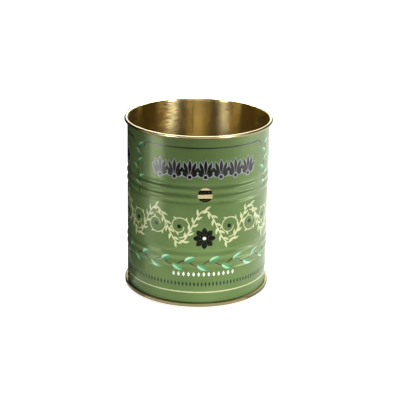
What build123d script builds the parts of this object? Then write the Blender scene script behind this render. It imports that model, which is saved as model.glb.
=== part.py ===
# Open printed tin can: a beaded round body with a rolled rim, and a bottom end that is double-seamed on.
# Lengths are in millimetres. +Z is up, the origin is on the can's axis in the plane that it stands on,
# the middle of the printed front faces -Y and the welded side seam is at the back, on +Y.
import os
from math import cos, radians, sin

from build123d import *

# The can as a whole
body_diameter = 99.4
overall_height = 122.2

# Body sheet
body_sheet = 0.25

# Rolled rim: the sheet is turned outwards and down, and its edge ends just short of the wall
curl_diameter = 2.4
curl_flats = 8  # flats in a full turn, which stand for the round of the roll
curl_turn = 270

# Beads: two groups of grooves rolled into the wall, with a ridge pushed out between neighbours
grooves_in_group = 3
groove_pitch = 5.8
groove_depth = 0.5
ridge_height = 0.3
groove_run_out = 2.3
lower_group_height = 33.9
upper_group_height = 81.4

# Double seam: five thicknesses of sheet hooked into each other round the foot of the can
seam_layer_gap = 0.36  # between one sheet and the next, across the seam
seam_edge_gap = 0.3
seam_height = 2.9
seam_corner = 0.5

# Bottom end
end_sheet = 0.28
end_to_wall_gap = 0.05
countersink_height = 4.3
countersink_width = 1.6
panel_height = 3.1
panel_step = 0.6
panel_step_width = 1.2
panel_step_diameter = 62.0

# Lining compound in the seam
compound_gap = 0.03
compound_height = 1.3

# Sizes that follow from the ones above
body_radius = body_diameter / 2
bore_radius = body_radius - body_sheet
curl_radius = curl_diameter / 2
curl_centre = (bore_radius + curl_radius, overall_height - curl_radius)
cover_hook_inside = body_radius + seam_layer_gap
cover_hook_outside = cover_hook_inside + end_sheet
body_hook_inside = cover_hook_outside + seam_layer_gap
body_hook_outside = body_hook_inside + body_sheet
seam_wall_inside = body_hook_outside + seam_layer_gap
seam_radius = seam_wall_inside + end_sheet
flange_bottom = end_sheet + seam_edge_gap
flange_top = flange_bottom + body_sheet
body_hook_top = seam_height - end_sheet - seam_edge_gap
cover_hook_bottom = flange_top + seam_edge_gap
chuck_wall_outside = bore_radius - end_to_wall_gap
chuck_wall_inside = chuck_wall_outside - end_sheet


def wall_face(face_radius):
    """Points up one face of the body wall, through both groups of beads."""
    points = []
    reach = (grooves_in_group - 1) * groove_pitch / 2
    for group_height in (lower_group_height, upper_group_height):
        points.append((face_radius, group_height - reach - groove_run_out))
        for groove in range(grooves_in_group):
            groove_height = group_height - reach + groove * groove_pitch
            if groove > 0:
                points.append((face_radius + ridge_height, groove_height - groove_pitch / 2))
            points.append((face_radius - groove_depth, groove_height))
        points.append((face_radius, group_height + reach + groove_run_out))
    return points


def curl_face(face_radius):
    """Points round one face of the rolled rim, from the wall over the top, out and down."""
    step = 360 / curl_flats
    centre_x, centre_z = curl_centre
    angles = [180 - step * flat for flat in range(round(curl_turn / step) + 1)]
    return [
        (centre_x + face_radius * cos(radians(angle)), centre_z + face_radius * sin(radians(angle)))
        for angle in angles
    ]


# Body: one sheet, from the hook in the seam, up the beaded wall and round the rolled rim
with BuildPart() as body:
    with BuildSketch(Plane.XZ):
        with BuildLine():
            inner_face = [(bore_radius, flange_bottom)] + wall_face(bore_radius) + curl_face(curl_radius)
            outer_face = wall_face(body_radius) + curl_face(curl_radius - body_sheet)
            hook = [
                (body_radius, flange_top),
                (body_hook_inside, flange_top),
                (body_hook_inside, body_hook_top),
                (body_hook_outside, body_hook_top),
                (body_hook_outside, flange_bottom),
            ]
            Polyline(*inner_face, *reversed(outer_face), *hook, close=True)
        make_face()
    revolve(axis=Axis.Z)
body.part.label = "body"

# Bottom end: panel, countersink and chuck wall, then round the foot of the body and hooked in behind it
with BuildPart() as bottom_end:
    with BuildSketch(Plane.XZ):
        with BuildLine():
            step_radius = panel_step_diameter / 2
            panel_edge = chuck_wall_inside - countersink_width
            upper_face = [
                (0, panel_height + panel_step),
                (step_radius, panel_height + panel_step),
                (step_radius + panel_step_width, panel_height),
                (panel_edge, panel_height),
                (chuck_wall_outside, countersink_height),
                (chuck_wall_outside, end_sheet),
                (seam_wall_inside, end_sheet),
                (seam_wall_inside, seam_height - end_sheet),
                (cover_hook_outside, seam_height - end_sheet),
                (cover_hook_outside, cover_hook_bottom),
            ]
            lower_face = [
                (0, panel_height + panel_step - end_sheet),
                (step_radius, panel_height + panel_step - end_sheet),
                (step_radius + panel_step_width, panel_height - end_sheet),
                (panel_edge, panel_height - end_sheet),
                (chuck_wall_inside, countersink_height - end_sheet),
                (chuck_wall_inside, 0),
                (seam_radius, 0),
                (seam_radius, seam_height - seam_corner),
                (seam_radius - seam_corner, seam_height),
                (cover_hook_inside, seam_height),
                (cover_hook_inside, cover_hook_bottom),
            ]
            Polyline(*upper_face, *reversed(lower_face), close=True)
        make_face()
    revolve(axis=Axis.Z)
bottom_end.part.label = "bottom_end"

# Lining compound: a rubbery wedge squeezed between the body hook and the outer wall of the seam
with BuildPart() as lining_compound:
    with BuildSketch(Plane.XZ):
        with BuildLine():
            ring_inside = body_hook_outside + compound_gap
            ring_outside = seam_wall_inside - compound_gap
            ring_bottom = end_sheet + compound_gap
            ring_top = ring_bottom + compound_height
            Polyline(
                (ring_inside, ring_bottom),
                (ring_outside, ring_bottom),
                (ring_inside, ring_top),
                close=True,
            )
        make_face()
    revolve(axis=Axis.Z)
lining_compound.part.label = "lining_compound"

os.makedirs("parts", exist_ok=True)
for piece in (body, bottom_end, lining_compound):
    export_step(piece.part, f"parts/{piece.part.label}.step")
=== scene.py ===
from math import ceil, cos, pi, radians, sin

import bmesh
import bpy
import numpy as np
from mathutils import Matrix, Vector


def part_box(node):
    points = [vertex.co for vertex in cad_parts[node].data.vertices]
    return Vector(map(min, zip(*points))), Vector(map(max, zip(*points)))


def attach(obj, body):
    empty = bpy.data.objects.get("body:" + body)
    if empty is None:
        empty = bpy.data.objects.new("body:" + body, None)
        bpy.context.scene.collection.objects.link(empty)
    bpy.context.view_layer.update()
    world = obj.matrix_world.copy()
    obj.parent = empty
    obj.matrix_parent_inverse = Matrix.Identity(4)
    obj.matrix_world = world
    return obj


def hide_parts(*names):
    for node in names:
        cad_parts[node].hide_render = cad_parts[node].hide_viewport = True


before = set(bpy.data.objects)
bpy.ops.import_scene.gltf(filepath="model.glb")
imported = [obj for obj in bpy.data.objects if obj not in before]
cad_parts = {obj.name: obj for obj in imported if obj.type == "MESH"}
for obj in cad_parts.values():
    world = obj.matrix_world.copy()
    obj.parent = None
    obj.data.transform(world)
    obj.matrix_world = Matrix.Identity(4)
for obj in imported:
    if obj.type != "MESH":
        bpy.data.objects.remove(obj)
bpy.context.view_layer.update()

MM = 0.001  # metres in a millimetre

# Sizes of the tin: the outermost ones are the frame's own
rim_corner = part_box("body")[1]
foot_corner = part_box("bottom_end")[1]
TIN_HEIGHT = rim_corner.z / MM
RIM_RADIUS = rim_corner.x / MM
SEAM_RADIUS = foot_corner.x / MM
COUNTERSINK_TOP = foot_corner.z / MM
BODY_SHEET = 0.25
END_SHEET = 0.28
CURL_RADIUS = 1.2
BORE_RADIUS = RIM_RADIUS - 2 * CURL_RADIUS
BODY_RADIUS = BORE_RADIUS + BODY_SHEET
HALF_ROUND = pi * BODY_RADIUS
CURL_BOTTOM = TIN_HEIGHT - 2 * CURL_RADIUS

# Beads rolled into the wall
BEAD_GROUPS = (33.9, 81.4)
BEAD_PITCH = 5.8
GROOVE_DEPTH = 0.5
RIDGE_HEIGHT = 0.3
BEAD_RUN_OUT = 2.3

# Welded side seam, where the sheet's edges overlap, with a margin on each side that is left without print
WELD_WIDTH = 1.1
WELD_HEIGHT = 0.12
WELD_INSIDE_SHARE = 0.4
WELD_FADE = 3.0
BARE_MARGIN = 3.0

# Double seam and bottom end
SEAM_HEIGHT = 2.9
SEAM_GAP = 0.36
SEAM_EDGE_GAP = 0.3
FLANGE_BOTTOM = 0.58
HOOK_TOP = 2.32
END_TO_WALL_GAP = 0.05
COUNTERSINK_WIDTH = 1.6
PANEL_HEIGHT = 3.1
PANEL_STEP = 0.6
PANEL_STEP_RADIUS = 31.0
PANEL_STEP_WIDTH = 1.2

# Rounds of the bottom end, from its middle outwards and round the seam: how far each runs along its sides
PANEL_STEP_ROUND = 0.6
PANEL_EDGE_ROUND = 0.7
COUNTERSINK_ROUND = 0.4
CHUCK_FOOT_ROUND = 0.05
FOLD_ROUND = 0.25
SEAM_FOOT_ROUND = 0.55
SEAM_TOP_ROUND = 0.75
SEAM_INNER_ROUND = 0.2
HOOK_EDGE_ROUND = 0.1

# How finely the surfaces are divided
COLUMNS_ROUND = 240
WELD_COLUMNS = 16
FINE_STEP = 0.5
COARSE_STEP = 2.5
ARC_STEPS = 20
ROUND_STEPS = 6
MERGE_DISTANCE = 0.001
SHARP_ANGLE = 38

# Print: the green skin and the inks over it are coats, each this much above the one under it
COAT = 0.02
INK_DEPTH = 0.03
FIRST_INK = 2.0
SECOND_INK = 3.0
THIRD_INK = 3.6
TOP_INK = 4.2
OVERLAP_LIFT = 0.002
OVERLAP_TURNS = 5
INK_STEP = 0.5
LEVEL_LINE_STEP = 2.0
FEWEST_COLUMNS = 3
FEWEST_STEPS = 6
FEWEST_DISC_POINTS = 9
LEAF_WIDEST = 0.42
PRINT_BOTTOM = 2.0
PRINT_TOP = 120.6
PRINT_REACH = HALF_ROUND - BARE_MARGIN
PANELS = 3
PANEL_WIDTH = 2 * HALF_ROUND / PANELS


def srgb(code):
    """A colour written as sRGB hex, in linear light: ((c + 0.055) / 1.055) ** 2.4 above the short straight
    foot."""
    channels = np.array([int(code[i:i + 2], 16) for i in (0, 2, 4)]) / 255
    linear = np.where(channels <= 0.04045, channels / 12.92, ((channels + 0.055) / 1.055) ** 2.4)
    return (*linear, 1)


def add(tree, kind, inputs=None, **settings):
    """One node of that kind, with its settings, and its inputs given as values or as the sockets that feed
    them."""
    made = tree.nodes.new(kind)
    for name, value in settings.items():
        setattr(made, name, value)
    for name, value in (inputs or {}).items():
        if isinstance(value, bpy.types.NodeSocket):
            tree.links.new(value, made.inputs[name])
        else:
            made.inputs[name].default_value = value
    return made


def new_material(name):
    """An empty node material, its tree and its output node."""
    material = bpy.data.materials.new(name)
    material.use_nodes = True
    material.node_tree.nodes.clear()
    return material, material.node_tree, add(material.node_tree, "ShaderNodeOutputMaterial")


def noise(tree, size, stretch=(1, 1, 1), detail=2.0):
    """Noise whose patches are about that many millimetres across, drawn out by a factor along each axis."""
    place = add(tree, "ShaderNodeTexCoord").outputs["Object"]
    scale = [1 / (size * MM * factor) for factor in stretch]
    mapped = add(tree, "ShaderNodeMapping", {"Vector": place, "Scale": scale})
    inputs = {"Vector": mapped.outputs["Vector"], "Scale": 1.0, "Detail": detail}
    return add(tree, "ShaderNodeTexNoise", inputs).outputs["Fac"]


def spread(tree, source, low, high):
    """Turns noise, which keeps mostly between 0.3 and 0.7, into values from low to high."""
    values = {"Value": source, "From Min": 0.3, "From Max": 0.7, "To Min": low, "To Max": high}
    return add(tree, "ShaderNodeMapRange", values).outputs["Result"]


def shades(tree, source, *codes):
    """A colour by a value from 0 to 1, through hex colours at even steps."""
    ramp = add(tree, "ShaderNodeValToRGB", {"Fac": source})
    stops = ramp.color_ramp.elements
    for place in np.linspace(0, 1, len(codes))[1:-1]:
        stops.new(place)
    for stop, code in zip(stops, codes):
        stop.color = srgb(code)
    return ramp.outputs["Color"]


def out_to_edge(tree, wall, edge):
    """A value by the distance from the tin's axis: it goes from the wall's to the rim's and seam's between
    the outer face of the wall and the top of the rolled rim."""
    place = add(tree, "ShaderNodeTexCoord").outputs["Object"]
    flat = add(tree, "ShaderNodeVectorMath", {0: place, 1: (1, 1, 0)}, operation="MULTIPLY")
    distance = add(tree, "ShaderNodeVectorMath", {0: flat.outputs["Vector"]}, operation="LENGTH")
    clear_of_wall = 0.2
    near = BODY_RADIUS + clear_of_wall
    far = BORE_RADIUS + CURL_RADIUS
    ends = {"From Min": near * MM, "From Max": far * MM, "To Min": wall, "To Max": edge}
    return add(tree, "ShaderNodeMapRange", {"Value": distance.outputs["Value"], **ends}).outputs["Result"]


def gold_lacquered_tinplate():
    """Tinplate under gold epoxy-phenolic lacquer, cold-rolled: the rolling grain runs round the tin, so
    lamps draw out into upright bands with ragged edges. The real grain is finer than 0.1 mm, too fine to
    show, so it is drawn 0.45 mm wide. Rolling the rim and the seam has strained the lacquer, so it is duller
    there and shows no grain. Its colour is darker there too, which is painted shade, so that the rim and
    the seam mirror less of the bright floor."""
    material, tree, output = new_material("gold_lacquered_tinplate")
    grain = noise(tree, 0.45, stretch=(16, 16, 1), detail=0.0)
    tangent = add(tree, "ShaderNodeTangent", direction_type="RADIAL", axis="Z")
    # The last colour, the darker one at the rim and the seam, is painted shade that dims what they mirror
    grain_and_rim_shade = out_to_edge(tree, spread(tree, grain, 0, 0.5), 1.0)
    shader = add(tree, "ShaderNodeBsdfPrincipled", {
        "Base Color": shades(tree, grain_and_rim_shade, "BAA872", "C6B47E", "9E9168"),
        "Metallic": 1.0,
        "Roughness": out_to_edge(tree, spread(tree, noise(tree, 8.0), 0.21, 0.24), 0.28),
        "Anisotropic": out_to_edge(tree, 0.85, 0.0),
        "Anisotropic Rotation": spread(tree, grain, 0.228, 0.272),
        "Tangent": tangent.outputs["Tangent"],
    })
    tree.links.new(shader.outputs["BSDF"], output.inputs["Surface"])
    return material


def varnished_tinplate():
    """Gold-lacquered tinplate under the print's clear varnish and no ink: as smooth as the print, so that
    it mirrors its surroundings as crisp stripes where the beads run across it."""
    material, tree, output = new_material("varnished_tinplate")
    shader = add(tree, "ShaderNodeBsdfPrincipled", {
        "Base Color": shades(tree, spread(tree, noise(tree, 2.0), 0, 1), "DCCB96", "E6D8A8"),
        "Metallic": 1.0,
        "Roughness": 0.12,
    })
    tree.links.new(shader.outputs["BSDF"], output.inputs["Surface"])
    return material


def bare_tinplate():
    """Electrolytic tinplate under clear lacquer: silvery grey with a faint grain, drawn coarser than the
    real one so that it shows, and left unprinted for the weld."""
    material, tree, output = new_material("bare_tinplate")
    grain = noise(tree, 0.8, stretch=(20, 20, 1))
    shader = add(tree, "ShaderNodeBsdfPrincipled", {
        "Base Color": shades(tree, spread(tree, grain, 0, 1), "A9A79C", "C4C1B4"),
        "Metallic": 1.0,
        "Roughness": spread(tree, noise(tree, 2.5), 0.28, 0.42),
    })
    tree.links.new(shader.outputs["BSDF"], output.inputs["Surface"])
    return material


def litho_ink(name, dark, light, cloud_size=3.0, gloss="FFFFFF"):
    """Offset litho ink under a stoved clear varnish: a smooth gloss skin over a film whose colour is
    slightly uneven, in clouds of that size in millimetres. A see-through ink tints the gloss of the metal
    under it."""
    material, tree, output = new_material(name)
    cloud = spread(tree, noise(tree, cloud_size, detail=3.0), 0, 1)
    orange_peel = noise(tree, 1.6)
    bump = add(tree, "ShaderNodeBump", {"Height": orange_peel, "Strength": 0.06, "Distance": INK_DEPTH * MM})
    shader = add(tree, "ShaderNodeBsdfPrincipled", {
        "Base Color": shades(tree, cloud, dark, light),
        "Roughness": spread(tree, noise(tree, 6), 0.21, 0.26),
        "IOR": 1.45,
        "Specular Tint": srgb(gloss),
        "Normal": bump.outputs["Normal"],
    })
    tree.links.new(shader.outputs["BSDF"], output.inputs["Surface"])
    return material


def sealing_compound():
    """Water-based rubber lining compound, dried in the seam: matte, grey and slightly lumpy."""
    material, tree, output = new_material("sealing_compound")
    lumps = noise(tree, 0.6)
    bump = add(tree, "ShaderNodeBump", {"Height": lumps, "Strength": 0.4, "Distance": 0.1 * MM})
    shader = add(tree, "ShaderNodeBsdfPrincipled", {
        "Base Color": shades(tree, spread(tree, lumps, 0, 1), "8A8A84", "9C9B92"),
        "Roughness": 0.75,
        "Normal": bump.outputs["Normal"],
    })
    tree.links.new(shader.outputs["BSDF"], output.inputs["Surface"])
    return material


def bead_wave(height):
    """How far the wall stands out of its plain cylinder. Inside a group it is a cosine wave, GROOVE_DEPTH
    in at each groove and RIDGE_HEIGHT out at each ridge. Past the outer grooves half a cosine leads back to
    nothing."""
    mean = (RIDGE_HEIGHT - GROOVE_DEPTH) / 2
    swing = (RIDGE_HEIGHT + GROOVE_DEPTH) / 2
    offset = np.zeros_like(height)
    for middle in BEAD_GROUPS:
        away = np.abs(height - middle)
        wave = mean - swing * np.cos(2 * pi * away / BEAD_PITCH)
        fade = np.clip((away - BEAD_PITCH) / BEAD_RUN_OUT, 0, 1)
        run_out = -GROOVE_DEPTH / 2 * (1 + np.cos(pi * fade))
        offset = offset + np.where(away < BEAD_PITCH, wave, run_out)
    return offset


def weld_bump(along, height):
    """How far the overlap of the weld stands out: a flat-topped hump, exp(-x^4), that fades out under the
    rim."""
    beside = (HALF_ROUND - np.abs(along)) / (WELD_WIDTH / 2)
    fade = np.clip((CURL_BOTTOM - height) / WELD_FADE, 0, 1)
    return WELD_HEIGHT * np.exp(-beside ** 4) * fade


def wrap(along, height, lift):
    """The point over the wall at that distance round the tin: the angle is the distance over the body's
    radius, and the radius is the beaded wall's, with the weld's bump, plus the lift."""
    angle = along / BODY_RADIUS
    radius = BODY_RADIUS + bead_wave(height) + weld_bump(along, height) + lift
    return np.stack([radius * np.sin(angle), -radius * np.cos(angle), height], axis=-1)


def wall_heights(low, high):
    """Heights up the wall, FINE_STEP apart through the beads and COARSE_STEP apart elsewhere."""
    heights = np.linspace(low, high, ceil((high - low) / FINE_STEP) + 1)
    number = np.arange(len(heights))
    reach = BEAD_PITCH + BEAD_RUN_OUT + FINE_STEP
    kept = (number % round(COARSE_STEP / FINE_STEP) == 0) | (number == number[-1])
    for middle in BEAD_GROUPS:
        kept |= np.abs(heights - middle) < reach
    return heights[kept]


def weld_places():
    """Distances from the middle of the weld, close together over its bump."""
    return np.linspace(-WELD_WIDTH, WELD_WIDTH, WELD_COLUMNS)


def grid_faces(rows, columns, close_rows=False, close_columns=False):
    """Quads over a grid of points, facing the way of the row direction times the column direction."""
    row, column = np.meshgrid(
        np.arange(rows if close_rows else rows - 1),
        np.arange(columns if close_columns else columns - 1),
        indexing="ij",
    )
    next_row = (row + 1) % rows
    next_column = (column + 1) % columns
    corners = (
        row * columns + column,
        next_row * columns + column,
        next_row * columns + next_column,
        row * columns + next_column,
    )
    return np.stack(corners, axis=-1).reshape(-1, 4)


def revolve(profile, angles, close_profile, weld_shares=0):
    """A surface of revolution about Z: each profile point (radius, height) becomes a ring of points, one at
    each angle. weld_shares says how much of the weld's bump moves each point outwards."""
    radius, height = (profile[:, axis, None] + np.zeros(len(angles)) for axis in (0, 1))
    shares = np.broadcast_to(weld_shares, len(profile))[:, None]
    radius = radius + shares * weld_bump(angles * BODY_RADIUS, height)
    points = np.stack([radius * np.sin(angles), -radius * np.cos(angles), height], axis=-1)
    return points.reshape(-1, 3), grid_faces(len(profile), len(angles), close_profile, True)


def thin_patch(along, height, lift, depth):
    """A thin closed patch over the wall from a grid of places: its top is lifted off the wall, its
    underside is that depth below the top, and a strip of quads joins their borders."""
    rows, columns = along.shape
    count = rows * columns
    top = wrap(along, height, lift).reshape(-1, 3)
    underside = wrap(along, height, lift - depth).reshape(-1, 3)
    index = np.arange(count).reshape(rows, columns)
    border = np.concatenate([index[:-1, 0], index[-1, :-1], index[:0:-1, -1], index[0, :0:-1]])
    after = np.roll(border, -1)
    side = np.stack([after, border, border + count, after + count], axis=-1)
    faces = grid_faces(rows, columns)
    return np.concatenate([top, underside]), np.concatenate([faces, faces[:, ::-1] + count, side])


def joined(meshes):
    """One mesh from several, each given as its points and faces."""
    starts = np.cumsum([0] + [len(points) for points, _ in meshes])
    points = np.concatenate([points for points, _ in meshes])
    faces = np.concatenate([faces + start for (_, faces), start in zip(meshes, starts)])
    return points, faces


def arc(centre, radius, start, end):
    """Points of a circular arc in the profile plane, by its start and end angles in degrees."""
    angles = np.radians(np.linspace(start, end, ARC_STEPS + 1))
    return np.stack([centre[0] + radius * np.cos(angles), centre[1] + radius * np.sin(angles)], axis=-1)


def rounded(corners_and_rounds):
    """A profile from corners, each with the length of its round. The round is the parabola (1 - t)^2 A +
    2t(1 - t) P + t^2 B, where A and B lie that length before and after the corner P."""
    corners = np.array([corner for corner, _ in corners_and_rounds], float)
    t = np.linspace(0, 1, ROUND_STEPS + 1)[:, None]
    stretches = []
    for number, (_, size) in enumerate(corners_and_rounds):
        corner = corners[number]
        if size == 0:
            stretches.append(corner[None, :])
            continue
        back = corners[number - 1] - corner
        on = corners[number + 1] - corner
        first = corner + back / np.linalg.norm(back) * size
        last = corner + on / np.linalg.norm(on) * size
        stretches.append((1 - t) ** 2 * first + 2 * t * (1 - t) * corner + t ** 2 * last)
    return np.concatenate(stretches)


def tin_body():
    """The body sheet: up the inner face of the wall, round the rolled rim, down the outer face and out into
    the hook that the double seam holds. The columns are closer at the weld, so that its bump is smooth."""
    even = np.linspace(-pi, pi, COLUMNS_ROUND, endpoint=False)
    beside = (pi - np.abs(even)) * BODY_RADIUS
    at_weld = pi + weld_places() / BODY_RADIUS
    angles = np.concatenate([even[beside > 1.5 * WELD_WIDTH], (at_weld + pi) % (2 * pi) - pi])
    angles.sort()
    curl_centre = (BORE_RADIUS + CURL_RADIUS, TIN_HEIGHT - CURL_RADIUS)
    inner_heights = wall_heights(FLANGE_BOTTOM, curl_centre[1])
    outer_heights = wall_heights(FLANGE_BOTTOM + BODY_SHEET, curl_centre[1])[::-1]
    inner = np.stack([BORE_RADIUS + bead_wave(inner_heights), inner_heights], axis=-1)
    outer = np.stack([BODY_RADIUS + bead_wave(outer_heights), outer_heights], axis=-1)
    roll_outside = arc(curl_centre, CURL_RADIUS, 180, -90)[1:]
    roll_inside = arc(curl_centre, CURL_RADIUS - BODY_SHEET, -90, 180)[:-1]
    hook_inside = BODY_RADIUS + 2 * SEAM_GAP + END_SHEET
    hook_outside = hook_inside + BODY_SHEET
    hook = [
        (hook_inside, FLANGE_BOTTOM + BODY_SHEET),
        (hook_inside, HOOK_TOP),
        (hook_outside, HOOK_TOP),
        (hook_outside, FLANGE_BOTTOM),
    ]
    weld_shares = np.concatenate([
        np.full(len(inner), -WELD_INSIDE_SHARE),
        np.zeros(len(roll_outside) + len(roll_inside)),
        np.ones(len(outer)),
        np.zeros(len(hook)),
    ])
    profile = np.concatenate([inner, roll_outside, roll_inside, outer, hook])
    return revolve(profile, angles, True, weld_shares)


def bottom_end():
    """The stamped bottom: panel with its step, countersink and chuck wall, then the outer wall of the
    double seam and the cover hook behind it. The profile starts and ends on the axis."""
    chuck_outside = BORE_RADIUS - END_TO_WALL_GAP
    chuck_inside = chuck_outside - END_SHEET
    panel_edge = chuck_inside - COUNTERSINK_WIDTH
    hook_inside = BODY_RADIUS + SEAM_GAP
    hook_outside = hook_inside + END_SHEET
    hook_bottom = FLANGE_BOTTOM + BODY_SHEET + SEAM_EDGE_GAP
    seam_inside = SEAM_RADIUS - END_SHEET
    panel_top = PANEL_HEIGHT + PANEL_STEP
    step_foot = PANEL_STEP_RADIUS + PANEL_STEP_WIDTH
    upper = rounded([
        ((0, panel_top), 0),
        ((PANEL_STEP_RADIUS, panel_top), PANEL_STEP_ROUND),
        ((step_foot, PANEL_HEIGHT), PANEL_STEP_ROUND),
        ((panel_edge, PANEL_HEIGHT), PANEL_EDGE_ROUND),
        ((chuck_outside, COUNTERSINK_TOP), FOLD_ROUND),
        ((chuck_outside, END_SHEET), CHUCK_FOOT_ROUND),
        ((seam_inside, END_SHEET), FOLD_ROUND),
        ((seam_inside, SEAM_HEIGHT - END_SHEET), SEAM_INNER_ROUND),
        ((hook_outside, SEAM_HEIGHT - END_SHEET), HOOK_EDGE_ROUND),
        ((hook_outside, hook_bottom), 0),
    ])
    lower = rounded([
        ((hook_inside, hook_bottom), 0),
        ((hook_inside, SEAM_HEIGHT), FOLD_ROUND),
        ((SEAM_RADIUS, SEAM_HEIGHT), SEAM_TOP_ROUND),
        ((SEAM_RADIUS, 0), SEAM_FOOT_ROUND),
        ((chuck_inside, 0), COUNTERSINK_ROUND),
        ((chuck_inside, COUNTERSINK_TOP - END_SHEET), COUNTERSINK_ROUND),
        ((panel_edge, PANEL_HEIGHT - END_SHEET), PANEL_EDGE_ROUND),
        ((step_foot, PANEL_HEIGHT - END_SHEET), PANEL_STEP_ROUND),
        ((PANEL_STEP_RADIUS, panel_top - END_SHEET), PANEL_STEP_ROUND),
        ((0, panel_top - END_SHEET), 0),
    ])
    angles = np.linspace(-pi, pi, COLUMNS_ROUND, endpoint=False)
    return revolve(np.concatenate([upper, lower]), angles, False)


def green_skin():
    """The printed coat over the outer wall, from inside the double seam to behind the rolled rim, open at
    the weld."""
    places = np.linspace(-PRINT_REACH, PRINT_REACH, COLUMNS_ROUND + 1)
    along, height = np.meshgrid(places, wall_heights(PRINT_BOTTOM, PRINT_TOP), indexing="ij")
    return thin_patch(along, height, COAT, INK_DEPTH)


def side_stripe():
    """The stripe over the weld that is left unprinted, from one edge of the print to the other."""
    places = HALF_ROUND + np.concatenate([[-BARE_MARGIN], weld_places(), [BARE_MARGIN]])
    along, height = np.meshgrid(places, wall_heights(PRINT_BOTTOM, PRINT_TOP), indexing="ij")
    return thin_patch(along, height, COAT / 2, INK_DEPTH)


def ribbon(path, half_widths, coat, shift=0.0):
    """A patch of ink along a path of (distance round, height) points, that far to each side of each point.
    shift moves it to its left, square to the path, by a share of the half-width."""
    direction = np.gradient(path, axis=0)
    direction /= np.linalg.norm(direction, axis=1, keepdims=True)
    square = np.stack([-direction[:, 1], direction[:, 0]], axis=-1)
    columns = max(FEWEST_COLUMNS, ceil(2 * half_widths.max() / INK_STEP) + 1)
    reach = half_widths[:, None] * (np.linspace(-1, 1, columns) + shift)
    place = path[:, None, :] + reach[:, :, None] * square[:, None, :]
    return thin_patch(place[..., 0], place[..., 1], coat * COAT, INK_DEPTH)


def curved_line(start, heading, length, bend=0.0):
    """Points of a line from a start. Its direction turns evenly from the heading by the bend, both in
    degrees."""
    steps = max(FEWEST_STEPS, ceil(length / INK_STEP))
    direction = np.radians(heading + bend * (np.arange(steps) + 0.5) / steps)
    moves = np.stack([np.cos(direction), np.sin(direction)], axis=-1) * length / steps
    return np.concatenate([[start], start + np.cumsum(moves, axis=0)])


def round_the_tin(step):
    """Distances round the tin, about that far apart, from one edge of the print to the other."""
    return np.linspace(-PRINT_REACH, PRINT_REACH, ceil(2 * PRINT_REACH / step))


def leaf_widths(count, width, widest):
    """Half-widths along a leaf: (width / 2) sin(pi t^k), with k set so that it is widest at that share."""
    power = np.log(0.5) / np.log(widest)
    return width / 2 * np.sin(pi * np.linspace(0, 1, count) ** power).clip(0)


class Print:
    """The ink patches of the print, gathered by ink. Each next patch of an ink lies a hair higher, because
    patches that lie exactly in each other shade badly."""

    def __init__(self):
        self.patches = {}

    def lay(self, ink, path, half_widths, coat, shift=0.0):
        """Any patch: a ribbon along a path."""
        patches = self.patches.setdefault(ink, [])
        level = coat + OVERLAP_LIFT / COAT * (len(patches) % OVERLAP_TURNS)
        patches.append(ribbon(path, half_widths, level, shift))

    def leaf(
        self, ink, start, heading, length, width, bend=0.0, coat=FIRST_INK, widest=LEAF_WIDEST, shift=0.0
    ):
        """A patch with a point at each end, from its start to that length away."""
        path = curved_line(start, heading, length, bend)
        self.lay(ink, path, leaf_widths(len(path), width, widest), coat, shift)

    def stroke(self, ink, path, width):
        """A line of even width."""
        self.lay(ink, path, np.full(len(path), width / 2), FIRST_INK)

    def disc(self, ink, centre, radius, coat=FIRST_INK):
        """A round patch: its half-width is sqrt(1 - x^2) of the radius, on points closer at both ends."""
        points = max(FEWEST_DISC_POINTS, ceil(3 * radius / INK_STEP))
        share = -np.cos(np.linspace(0, pi, points))
        path = centre + np.stack([share * radius, np.zeros_like(share)], axis=-1)
        self.lay(ink, path, radius * np.sqrt((1 - share ** 2).clip(0)), coat)


# Frieze of palmettes under the rim, in black with a pale edge
FRIEZE_FOOT = 92.6
FRIEZE_HEIGHT = 13.0
PALMETTES = 7
PALMETTE_PITCH = 10.6
PETAL_ANGLES = (-78, -52, -26, 26, 52, 78, 0)
PETAL_WIDTH = 2.3
PETAL_SHORTENING = 0.52
PETAL_BEND = 0.35
PETAL_WIDEST = 0.62
PALMETTE_FOOT = 1.2
KNOT_RADIUS = 1.3
KNOT_EDGE = 0.7
KNOT_DROP = 0.3
EDGE_WIDTH = 0.6


def palmette(print_, centre):
    """A fan of petals from one foot. The middle one is the longest, and the others are shorter by the factor
    1 - PETAL_SHORTENING (angle / outermost angle)^2. Each lies over a slightly larger pale one, and a round
    knot covers the foot."""
    foot = np.array([centre, FRIEZE_FOOT + PALMETTE_FOOT])
    for angle in PETAL_ANGLES:
        length = (FRIEZE_HEIGHT - PALMETTE_FOOT) * (1 - PETAL_SHORTENING * (angle / PETAL_ANGLES[0]) ** 2)
        shape = {"heading": 90 - angle, "bend": PETAL_BEND * angle, "widest": PETAL_WIDEST}
        edge = {"length": length + EDGE_WIDTH, "width": PETAL_WIDTH + 2 * EDGE_WIDTH}
        print_.leaf("pale_ink", foot, **edge, **shape, coat=FIRST_INK)
        print_.leaf("black_ink", foot, length=length, width=PETAL_WIDTH, **shape, coat=SECOND_INK)
    knot = foot - (0, KNOT_DROP)
    print_.disc("pale_ink", knot, KNOT_RADIUS + KNOT_EDGE, THIRD_INK)
    print_.disc("black_ink", knot, KNOT_RADIUS, TOP_INK)


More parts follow.
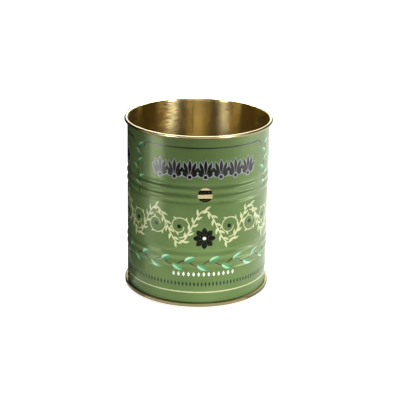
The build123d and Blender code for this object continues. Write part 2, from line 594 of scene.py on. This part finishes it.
# Scrolling vine round the middle, in cream
VINE_MIDDLE = 58.0
VINE_SWING = 12.0
VINE_WAVES = 9
VINE_WIDTH = 0.85
BARE_END = 2.5
VINE_LEAF = (5.2, 1.6)
VINE_LEAF_PITCH = 3.1
VINE_LEAF_ANGLE = 48
VINE_LEAF_CURL = 25
SCROLL_RADIUS = 8.2
SCROLL_TURNS = 1.25
SCROLL_SHRINK = 0.62
SCROLL_WIDTH = 0.8
SCROLL_TAPER = 0.35
SCROLL_POINTS = 60
SCROLL_LEAF_POINTS = range(8, 52, 9)
SCROLL_LEAF = (2.8, 1.1)
SCROLL_LEAF_ANGLE = 55
BERRY_RADIUS = 1.5
ROSETTE_RADIUS = 7.8
ROSETTE_PETALS = 8
ROSETTE_PETAL_WIDTH = 3.9
ROSETTE_PETAL_WIDEST = 0.66
ROSETTE_HEART_SHARE = 0.36
ROSETTE_EYE_SHARE = 0.16
ROSETTE_DROP = 8.0


def scrolling_vine(print_):
    """The stem is a cosine wave in height, with a crest at the middle of each panel. Small leaves stand on
    its two sides in turn, and in each hollow a scroll winds in round a berry, or a rosette sits under the
    crest at the middle of a panel."""
    along = round_the_tin(INK_STEP)
    wave = np.cos(VINE_WAVES * along / BODY_RADIUS)
    path = np.stack([along, VINE_MIDDLE + VINE_SWING * wave], axis=-1)
    print_.stroke("cream_ink", path, VINE_WIDTH)
    slope = np.degrees(np.arctan2(*np.gradient(path, axis=0).T[::-1]))
    run = np.concatenate([[0], np.cumsum(np.linalg.norm(np.diff(path, axis=0), axis=1))])
    leaves = np.searchsorted(run, np.arange(BARE_END, run[-1] - BARE_END, VINE_LEAF_PITCH))
    for number, place in enumerate(leaves):
        side = 1 if number % 2 else -1
        heading = slope[place] + side * VINE_LEAF_ANGLE
        print_.leaf("cream_ink", path[place], heading, *VINE_LEAF, -side * VINE_LEAF_CURL)
    half_wave = pi * BODY_RADIUS / VINE_WAVES
    for hollow in range(-VINE_WAVES + 1, VINE_WAVES):
        centre = np.array([hollow * half_wave, VINE_MIDDLE])
        if hollow % (2 * PANELS) == 0:
            rosette(print_, centre - (0, ROSETTE_DROP))
        else:
            scroll(print_, centre, -1 if hollow % 2 == 0 else 1)


def rosette(print_, centre):
    """A flower of black petals with a round heart and a white eye."""
    size = (ROSETTE_RADIUS, ROSETTE_PETAL_WIDTH)
    for petal in range(ROSETTE_PETALS):
        heading = 360 * petal / ROSETTE_PETALS
        print_.leaf("black_ink", centre, heading, *size, widest=ROSETTE_PETAL_WIDEST)
    print_.disc("black_ink", centre, ROSETTE_RADIUS * ROSETTE_HEART_SHARE, SECOND_INK)
    print_.disc("white_ink", centre, ROSETTE_RADIUS * ROSETTE_EYE_SHARE, TOP_INK)


def scroll(print_, centre, upright):
    """A spiral of SCROLL_TURNS turns from the stem into its hollow: its radius falls evenly from
    SCROLL_RADIUS, by the share SCROLL_SHRINK of it, and its width by the share SCROLL_TAPER. A berry sits
    in the middle."""
    turn = np.linspace(0, 1, SCROLL_POINTS)
    angle = upright * (-pi / 2 + 2 * pi * SCROLL_TURNS * turn)
    radius = SCROLL_RADIUS * (1 - SCROLL_SHRINK * turn)
    path = centre + radius[:, None] * np.stack([np.cos(angle), np.sin(angle)], axis=-1)
    print_.lay("cream_ink", path, SCROLL_WIDTH / 2 * (1 - SCROLL_TAPER * turn), FIRST_INK)
    for place in SCROLL_LEAF_POINTS:
        heading = np.degrees(angle[place]) + upright * SCROLL_LEAF_ANGLE
        print_.leaf("cream_ink", path[place], heading, *SCROLL_LEAF)
    print_.disc("black_ink", centre, BERRY_RADIUS)


# Garland of mint leaves on a brown stem over the lower beads
GARLAND_HEIGHT = 31.5
GARLAND_SWING = 1.8
GARLAND_WAVES = 18
GARLAND_STEM = 0.8
GARLAND_LEAF = (9.0, 4.2)
GARLAND_LEAF_ANGLE = 42
GARLAND_LEAF_OFFSET = 0.6

# Mint leaf: its curl in degrees, its pale half as shares of the leaf's size, and how far that is shifted, as
# a share of its own half-width
MINT_CURL = 22
PALE_LENGTH_SHARE = 0.86
PALE_WIDTH_SHARE = 0.42
PALE_START_SHARE = 0.14
PALE_SHIFT = 0.75


def mint_leaf(print_, start, heading, length, width, side):
    """A dark blade with a pale half over it, which leaves a dark midrib and edge. side is 1 or -1, and says
    on which side the pale half is and which way the leaf curls."""
    start = np.array(start)
    away = np.array([-sin(radians(heading)), cos(radians(heading))]) * side
    curl = -side * MINT_CURL
    print_.leaf("deep_mint_ink", start, heading, length, width, curl)
    pale_start = start + PALE_START_SHARE * width * away
    pale_size = (PALE_LENGTH_SHARE * length, PALE_WIDTH_SHARE * width)
    shift = side * PALE_SHIFT
    print_.leaf("pale_mint_ink", pale_start, heading, *pale_size, curl, SECOND_INK, shift=shift)


def garland(print_):
    """A gently waving stem, with a leaf above each crest and below each trough."""
    along = round_the_tin(INK_STEP)
    wave = np.sin(GARLAND_WAVES * along / BODY_RADIUS)
    stem = np.stack([along, GARLAND_HEIGHT + GARLAND_SWING * wave], axis=-1)
    print_.stroke("brown_ink", stem, GARLAND_STEM)
    pitch = pi * BODY_RADIUS / GARLAND_WAVES
    for place in range(-GARLAND_WAVES + 1, GARLAND_WAVES):
        side = 1 if place % 2 else -1
        start = ((place - 0.5) * pitch, GARLAND_HEIGHT + side * GARLAND_LEAF_OFFSET)
        mint_leaf(print_, start, side * GARLAND_LEAF_ANGLE, *GARLAND_LEAF, side)


# Upright sprigs at the borders of the front panel, over the upper beads
SPRIG_FOOT = 76.0
SPRIG_HEIGHT = 34.0
SPRIG_SWING = 1.5
SPRIG_WAVES = 1.5
SPRIG_STEM = 1.0
SPRIG_LEAVES = 6
SPRIG_FIRST_LEAF = 0.8
SPRIG_LEAF = (7.6, 3.4)
SPRIG_LEAF_ANGLE = 48


def sprig_stem(middle, rise):
    """The point of the stem at that share of its height: it sways as SPRIG_WAVES periods of a sine wave."""
    sway = SPRIG_SWING * np.sin(2 * pi * SPRIG_WAVES * rise)
    return np.stack([middle + sway, SPRIG_FOOT + SPRIG_HEIGHT * rise], axis=-1)


def sprig(print_, middle):
    """A brown stem with mint leaves, in turn on its left and right."""
    stem = sprig_stem(middle, np.linspace(0, 1, ceil(SPRIG_HEIGHT / INK_STEP)))
    print_.stroke("brown_ink", stem, SPRIG_STEM)
    for leaf in range(SPRIG_LEAVES):
        side = 1 if leaf % 2 else -1
        start = sprig_stem(middle, (leaf + SPRIG_FIRST_LEAF) / SPRIG_LEAVES)
        mint_leaf(print_, start, 90 - side * SPRIG_LEAF_ANGLE, *SPRIG_LEAF, side)


# Plain rows and lines under the garland and under the rim
WHITE_ROW_HEIGHT = 23.6
WHITE_ROW_REACH = 21.0
WHITE_ROW_PITCH = 3.5
WHITE_LOZENGE = (3.4, 1.7)
DARK_ROW_HEIGHT = 16.3
DARK_ROW_COUNT = 116
DARK_OVAL = (3.6, 1.35)
EVEN_WIDEST = 0.5
CREAM_LINE_HEIGHT = 10.3
CREAM_LINE_WIDTH = 0.85
RIM_LINE_HEIGHT = 113.7
RIM_LINE_WIDTH = 0.9
RIM_LINE_REACH = 42.0
RIM_LINE_CORNER = 4.0
CORNER_POINTS = 12


def rim_line(middle):
    """A level line over a panel that turns down at each end, in a quarter circle."""
    straight = np.linspace(0, RIM_LINE_REACH, ceil(RIM_LINE_REACH))
    turn = np.linspace(0, pi / 2, CORNER_POINTS)[1:]
    along = np.concatenate([straight, RIM_LINE_REACH + RIM_LINE_CORNER * np.sin(turn)])
    height = np.concatenate([np.zeros_like(straight), RIM_LINE_CORNER * (np.cos(turn) - 1)])
    along = np.concatenate([-along[:0:-1], along])
    height = np.concatenate([height[:0:-1], height])
    return np.stack([middle + along, RIM_LINE_HEIGHT + height], axis=-1)


def rows_and_lines(print_):
    """A line over each panel and a short row of white lozenges on it, then a row of small dark ovals and a
    cream line round the foot."""
    along = round_the_tin(LEVEL_LINE_STEP)
    cream_line = np.stack([along, np.full(len(along), CREAM_LINE_HEIGHT)], axis=-1)
    print_.stroke("cream_ink", cream_line, CREAM_LINE_WIDTH)
    for panel in range(PANELS):
        middle = (panel - 1) * PANEL_WIDTH
        print_.stroke("dark_green_ink", rim_line(middle), RIM_LINE_WIDTH)
        for place in np.arange(-WHITE_ROW_REACH, WHITE_ROW_REACH + 1, WHITE_ROW_PITCH):
            start = (middle + place, WHITE_ROW_HEIGHT - WHITE_LOZENGE[0] / 2)
            print_.leaf("white_ink", start, 90, *WHITE_LOZENGE, widest=EVEN_WIDEST)
    for place in (np.arange(DARK_ROW_COUNT) + 0.5) * 2 / DARK_ROW_COUNT - 1:
        start = (place * PRINT_REACH, DARK_ROW_HEIGHT - DARK_OVAL[0] / 2)
        print_.leaf("dark_green_ink", start, 90, *DARK_OVAL, widest=EVEN_WIDEST)


# Round window in the print, where the gold-lacquered sheet shows
WINDOW_HEIGHT = 80.9
WINDOW_RADIUS = 5.1

inks = Print()
scrolling_vine(inks)
garland(inks)
rows_and_lines(inks)
for panel in range(PANELS):
    panel_middle = (panel - 1) * PANEL_WIDTH
    for place in range(PALMETTES):
        palmette(inks, panel_middle + (place - (PALMETTES - 1) / 2) * PALMETTE_PITCH)
    inks.disc("window", (panel_middle, WINDOW_HEIGHT), WINDOW_RADIUS)
for side in (-1, 1):
    sprig(inks, side * PANEL_WIDTH / 2)

INK_COLOURS = {
    "cream_ink": ("C4C995", "D0D5A6"),
    "black_ink": ("15170F", "20231A"),
    "pale_ink": ("9C9FA0", "ABAEAC"),
    "deep_mint_ink": ("4A8657", "589463"),
    "pale_mint_ink": ("98C79B", "A8D3A9"),
    "brown_ink": ("4A3A26", "5A4830"),
    "white_ink": ("DCE0D0", "E8EADE"),
    "dark_green_ink": ("1F2C17", "28381E"),
}


def make_piece(name, mesh_parts, material, replaced=()):
    """One Blender object from points and faces. Poles and tips are merged, and sharp edges stay sharp."""
    points, faces = mesh_parts
    mesh = bpy.data.meshes.new(name)
    mesh.from_pydata((points * MM).tolist(), [], faces.tolist())
    merged = bmesh.new()
    merged.from_mesh(mesh)
    bmesh.ops.remove_doubles(merged, verts=merged.verts, dist=MERGE_DISTANCE * MM)
    merged.to_mesh(mesh)
    merged.free()
    mesh.shade_smooth()
    mesh.set_sharp_from_angle(angle=radians(SHARP_ANGLE))
    mesh.materials.append(material)
    piece = bpy.data.objects.new(name, mesh)
    bpy.context.scene.collection.objects.link(piece)
    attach(piece, "root")
    if replaced:
        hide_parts(*replaced)
    return piece


gold = gold_lacquered_tinplate()
sheet = make_piece("tin_body", tin_body(), gold, ["body"])
bottom = make_piece("seamed_bottom", bottom_end(), gold, ["bottom_end"])
green_ink = litho_ink("green_ink", "5F7544", "69804D", cloud_size=28.0, gloss="D2E6AC")
make_piece("green_coat", green_skin(), green_ink)
make_piece("side_stripe", side_stripe(), bare_tinplate())
windows = joined(inks.patches.pop("window"))
make_piece("round_windows", windows, varnished_tinplate())
for ink_name, ink_patches in inks.patches.items():
    ink = litho_ink(ink_name, *INK_COLOURS[ink_name])
    make_piece("print_" + ink_name, joined(ink_patches), ink)

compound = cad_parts["lining_compound"]
compound.data.materials.clear()
compound.data.materials.append(sealing_compound())


# Studio: a white floor in a dark room, soft lamps, black and white cards, and the camera. The camera sees
# the floor alone, and the cards show in gloss alone. Places are given as the camera sees them: right, away
# from it and up, from the tin's foot.
FLOOR_REACH = 4000
FLOOR_GLOW = 0.8
GLOW_STARTS_TO_RISE = 300
FULL_GLOW = 900
ROOM_RADIUS = 3000
ROOM_RINGS = 13
ROOM_COLUMNS = 48
ROOM_LIGHT = 0.03
SEAM_CARD_GAP = 0.4
SEAM_CARD_WIDTH = 4.0
SEAM_CARD_HEIGHT = 0.4
SEAM_CARD_POINTS = 24
CAMERA_TURN = -6.2
CAMERA_PLACE = (2.59, -801.3, 340.0)
CAMERA_PITCH = 19.285
CAMERA_ROLL = 1.0
FOCAL_PIXELS = 1188.3
FRAME_PIXELS = 402
camera_turn = Matrix.Rotation(radians(CAMERA_TURN), 4, "Z")


def white_floor():
    """Matte white floor. Rays from the camera and from gloss also see light of its own, so that it reads as
    a white background. Near the tin it is less, so that the shadow shows, and it rises to 1 away from it,
    where the lamps give little."""
    material, tree, output = new_material("white_floor")
    place = add(tree, "ShaderNodeTexCoord").outputs["Object"]
    away = add(tree, "ShaderNodeVectorMath", {0: place}, operation="LENGTH").outputs["Value"]
    from_to = {"From Min": GLOW_STARTS_TO_RISE * MM, "From Max": FULL_GLOW * MM}
    rise = {"Value": away, **from_to, "To Min": FLOOR_GLOW, "To Max": 1.0}
    strength = add(tree, "ShaderNodeMapRange", rise).outputs["Result"]
    rays = add(tree, "ShaderNodeLightPath").outputs
    seen = rays["Is Camera Ray"]
    for kind in ("Is Glossy Ray", "Is Transmission Ray"):
        seen = add(tree, "ShaderNodeMath", {0: seen, 1: rays[kind]}, operation="MAXIMUM").outputs[0]
    level = add(tree, "ShaderNodeMath", {0: seen, 1: strength}, operation="MULTIPLY")
    matte = add(tree, "ShaderNodeBsdfDiffuse", {"Color": srgb("E8E8E8")})
    glow = add(tree, "ShaderNodeEmission", {"Color": (1, 1, 1, 1), "Strength": level.outputs[0]})
    both = add(tree, "ShaderNodeAddShader", {0: matte.outputs[0], 1: glow.outputs[0]})
    tree.links.new(both.outputs[0], output.inputs["Surface"])
    material.cycles.emission_sampling = "NONE"
    return material


def plain_glow(name, code, strength):
    """A surface that only gives off even light of that colour."""
    material, tree, output = new_material(name)
    glow = add(tree, "ShaderNodeEmission", {"Color": srgb(code), "Strength": strength})
    tree.links.new(glow.outputs[0], output.inputs["Surface"])
    material.cycles.emission_sampling = "NONE"
    return material


def stage_mesh(name, points, faces, material):
    """A part of the studio from points in millimetres as the camera sees them."""
    mesh = bpy.data.meshes.new(name)
    mesh.from_pydata((np.asarray(points, float) * MM).tolist(), [], np.asarray(faces).tolist())
    mesh.materials.append(material)
    part = bpy.data.objects.new(name, mesh)
    part.matrix_world = camera_turn
    bpy.context.scene.collection.objects.link(part)
    return part


def foot_band(start, end):
    """Corners of a strip just over the floor that follows the foot between two azimuths. It is as wide as
    the double seam's mirror image needs, and no wider, so that the wall above hardly mirrors it."""
    azimuth = np.radians(np.linspace(start, end, SEAM_CARD_POINTS))
    out = np.stack([np.sin(azimuth), -np.cos(azimuth)], axis=-1)
    near = SEAM_RADIUS + SEAM_CARD_GAP
    flat = np.concatenate([near * out, (near + SEAM_CARD_WIDTH) * out[::-1]])
    return np.column_stack([flat, np.full(len(flat), SEAM_CARD_HEIGHT)])


def card(name, corners, strength):
    """A card that shows in gloss alone: a black one gives a dark edge or band, and a white one a pale
    one."""
    flag = stage_mesh(name, corners, [tuple(range(len(corners)))], plain_glow(name, "FFFFFF", strength))
    flag.visible_camera = False
    flag.visible_diffuse = False
    flag.visible_shadow = False
    flag.visible_transmission = False


def dark_room():
    """A dome over the floor, radius ROOM_RADIUS, that gives a little even light and shows dark in gloss."""
    rise = np.linspace(0, pi / 2, ROOM_RINGS)
    turn = np.linspace(0, 2 * pi, ROOM_COLUMNS, endpoint=False)
    rise, turn = np.meshgrid(rise, turn, indexing="ij")
    points = np.stack([np.cos(rise) * np.cos(turn), np.cos(rise) * np.sin(turn), np.sin(rise)], axis=-1)
    faces = grid_faces(ROOM_RINGS, ROOM_COLUMNS, close_columns=True)
    glow = plain_glow("dark_room", "FFFFFF", ROOM_LIGHT)
    room = stage_mesh("dark_room", ROOM_RADIUS * points.reshape(-1, 3), faces, glow)
    room.visible_camera = False


def soft_lamp(name, azimuth, elevation, distance, size, power):
    """A rectangular lamp that faces the middle of the tin. Azimuth is measured from the camera's side,
    positive to the right; size is its width and height in millimetres, and distance is in millimetres
    too."""
    lamp = bpy.data.lights.new(name, "AREA")
    lamp.shape = "RECTANGLE"
    lamp.size, lamp.size_y = (side * MM for side in size)
    lamp.energy = power
    place = bpy.data.objects.new(name, lamp)
    bpy.context.scene.collection.objects.link(place)
    turn = Matrix.Rotation(radians(azimuth), 4, "Z")
    tilt = Matrix.Rotation(radians(90 - elevation), 4, "X")
    target = Matrix.Translation((0, 0, TIN_HEIGHT / 2 * MM))
    place.matrix_world = camera_turn @ target @ turn @ tilt @ Matrix.Translation((0, 0, distance * MM))
    place.visible_camera = False
    return place


def make_camera():
    """The camera of the photograph: its place and pitch, turned about the tin so that the print faces as it
    does there."""
    camera = bpy.data.objects.new("camera", bpy.data.cameras.new("camera"))
    camera.data.sensor_width = 36
    camera.data.lens = camera.data.sensor_width * FOCAL_PIXELS / FRAME_PIXELS
    camera.data.clip_start = 0.01
    bpy.context.scene.collection.objects.link(camera)
    place = Matrix.Translation([length * MM for length in CAMERA_PLACE])
    pitch = Matrix.Rotation(radians(90 - CAMERA_PITCH), 4, "X")
    roll = Matrix.Rotation(radians(CAMERA_ROLL), 4, "Z")
    camera.matrix_world = camera_turn @ place @ pitch @ roll
    bpy.context.scene.camera = camera


def white_world():
    """White beyond the floor, for views along it; the room's dome hides it from everything but the
    camera."""
    world = bpy.data.worlds.new("white")
    bpy.context.scene.world = world
    world.use_nodes = True
    world.node_tree.nodes["Background"].inputs["Color"].default_value = srgb("FFFFFF")
    world.cycles.sampling_method = "NONE"


reach = FLOOR_REACH
floor_corners = [(-reach, -reach, 0), (reach, -reach, 0), (reach, reach, 0), (-reach, reach, 0)]
stage_mesh("floor", floor_corners, [(0, 1, 2, 3)], white_floor())
dark_room()
white_world()

# Black cards: the dark underside of the near rim, the dark stripes in the window and the tin's dark left side
card("front_card", [(-230, -80, 1), (170, -80, 1), (170, -900, 1), (-230, -900, 1)], 0.015)
card("left_card", [(-75, -31, 2), (-75, 250, 2), (-75, 250, 200), (-75, -31, 200)], 0.015)
card("left_foot_card", [(-75, -12, 0.5), (-38, -12, 0.5), (-38, 250, 0.5), (-75, 250, 0.5)], 0.015)

# Grey bands of floor that the double seam mirrors at its left and right
card("left_seam_card", foot_band(-45, -130), 0.35)
card("right_seam_card", foot_band(45, 130), 0.4)

# White cards: the pale right side, the upper edge of the rim, and the pale stripes in the window
card("right_card", [(80, -25, 2), (80, 250, 2), (80, 250, 120), (80, -25, 120)], 1.6)
card("back_card", [(-170, 600, 1), (170, 600, 1), (170, 600, 520), (-170, 600, 520)], 2.4)
card("front_screen", [(-60, -700, 30), (450, -700, 30), (450, -700, 430), (-60, -700, 430)], 0.9)

# Lamps for everything: soft light from above, and what a white table throws up at the tin's foot
soft_lamp("top_lamp", 170, 72, 800, (600, 500), 4.6).visible_glossy = False
soft_lamp("foot_lamp", 0, -19, 150, (220, 28), 0.165).visible_glossy = False

# A strip at the left and a window at the right, for the glossy print: bare metal takes no light from them
all_but_metal = bpy.data.collections.new("all_but_metal")
for metal in (sheet, bottom):
    all_but_metal.objects.link(metal)
for entry in all_but_metal.collection_objects:
    entry.light_linking.link_state = "EXCLUDE"
left_strip = soft_lamp("left_strip", -62, -1.4, 205.6, (82, 108), 0.16)
left_strip.visible_diffuse = False
for lamp in (left_strip, soft_lamp("right_window", 93, -1, 600, (700, 130), 4.1)):
    lamp.light_linking.receiver_collection = all_but_metal

# Lamps that draw the bands inside the tin and light the near rim: they light the body sheet alone
inside_and_rim = bpy.data.collections.new("inside_and_rim")
inside_and_rim.objects.link(sheet)
for lamp in (
    soft_lamp("inside_right", 46.5, 20.5, 900, (140, 200), 10),
    soft_lamp("inside_back", 181, 40, 900, (420, 300), 12),
    soft_lamp("inside_left", -44, 20.5, 900, (130, 200), 6.4),
    soft_lamp("front_rim", 0, 27, 700, (500, 300), 1.25),
):
    lamp.light_linking.receiver_collection = inside_and_rim

make_camera()
bpy.context.scene.view_settings.view_transform = "Standard"
